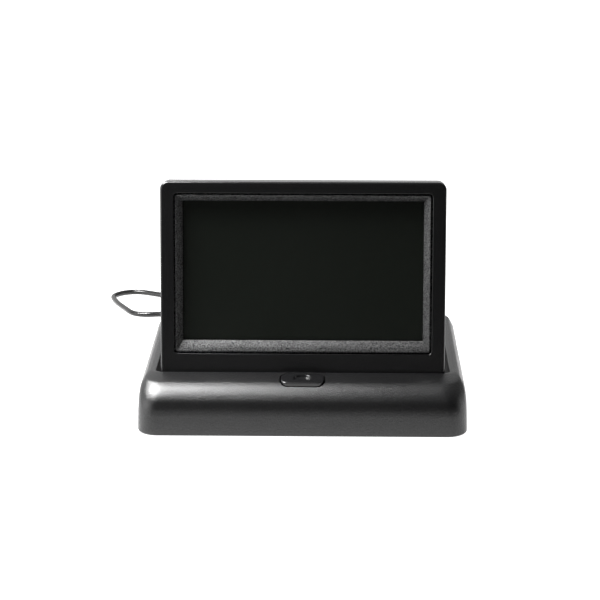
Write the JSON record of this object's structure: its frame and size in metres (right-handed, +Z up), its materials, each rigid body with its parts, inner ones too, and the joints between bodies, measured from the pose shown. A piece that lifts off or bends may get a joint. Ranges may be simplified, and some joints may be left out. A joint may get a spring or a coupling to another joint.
{
  "type": "folding dash monitor",
  "caption": "Folding dash monitor for a reversing camera: a small screen that springs up from a shallow base, with a release key, a latch and a trailing lead.",
  "frame": {"origin": "centre of the base's underside, on the adhesive pad's lower face", "axes": "+X to the right seen from the front, +Y away from the viewer, towards the lead, +Z up; the screen faces -Y"},
  "size_m": [0.1659, 0.217, 0.0985],
  "materials": {
    "base_plastic": "satin black moulded plastic with a fine grain",
    "key_plastic": "satin black moulded plastic",
    "frame_plastic": "satin black moulded plastic with a very fine grain",
    "bezel_plastic": "spark-eroded grainy black plastic",
    "screen_glass": "anti-glare display glass, switched off",
    "rubber": "glossy black cable jacket",
    "foam": "matt black foam and webbing",
    "steel": "zinc-plated steel",
    "nylon": "natural nylon",
    "circuit_board": "green solder mask",
    "chip_black": "black moulded package",
    "white_film": "white diffuser film",
    "amber_film": "amber polyimide film"
  },
  "bodies": {
    "base": {"base_upper_housing": "base_plastic", "base_bottom_cover": "frame_plastic", "adhesive_pad": "foam", "hinge_pin": "steel", "hinge_sleeve": "steel", "hinge_torsion_spring": "steel", "key_spring": "steel", "cable_gland": "rubber", "inner_lead": "rubber", "main_cable": "rubber", "cable_coil": "rubber", "cable_tie": "foam", "connector_lead": "rubber", "connector_body": "rubber", "connector_collar": "chip_black", "connector_insert": "nylon", "base_screw_1": "steel", "connector_pin_1": "steel", "base_screw_2": "steel", "connector_pin_2": "steel", "base_screw_3": "steel", "connector_pin_3": "steel", "base_screw_4": "steel", "connector_pin_4": "steel"},
    "screen": {"screen_front_frame": "frame_plastic", "screen_inner_bezel": "bezel_plastic", "screen_back_cover": "frame_plastic", "lcd_glass": "screen_glass", "backlight_panel": "white_film", "lcd_metal_frame": "steel", "driver_board": "circuit_board", "video_chip": "chip_black", "memory_chip": "chip_black", "power_inductor": "chip_black", "board_connector": "nylon", "board_capacitor_1": "chip_black", "board_capacitor_2": "chip_black", "lcd_ribbon": "amber_film", "pivot_bush": "nylon", "screen_screw_1": "steel", "screen_screw_2": "steel", "screen_screw_3": "steel", "screen_screw_4": "steel"},
    "release_key": {"release_key": "key_plastic"},
    "latch": {"latch_slide": "nylon"}
  },
  "joints": [
    {"name": "screen_fold", "type": "hinge", "parent": "base", "child": "screen", "pos_m": [0, -0.0323, 0.0165], "axis": [-1, 0, 0], "range_deg": [0, 82], "stiffness_Nm_per_rad": 0.03, "springref_deg": -57.3},
    {"name": "key_press", "type": "slide", "parent": "base", "child": "release_key", "axis": [0, 0, -1], "range_m": [0, 0.0012], "stiffness_N_per_m": 200, "springref_m": -0.002, "deforming": ["key_spring"]},
    {"name": "latch_pull", "type": "slide", "parent": "base", "child": "latch", "axis": [0, -1, 0], "range_m": [0, 0.0012]}
  ],
  "couplings": [
    {"joint": "latch_pull", "follows": "key_press", "ratio": 1}
  ]
}
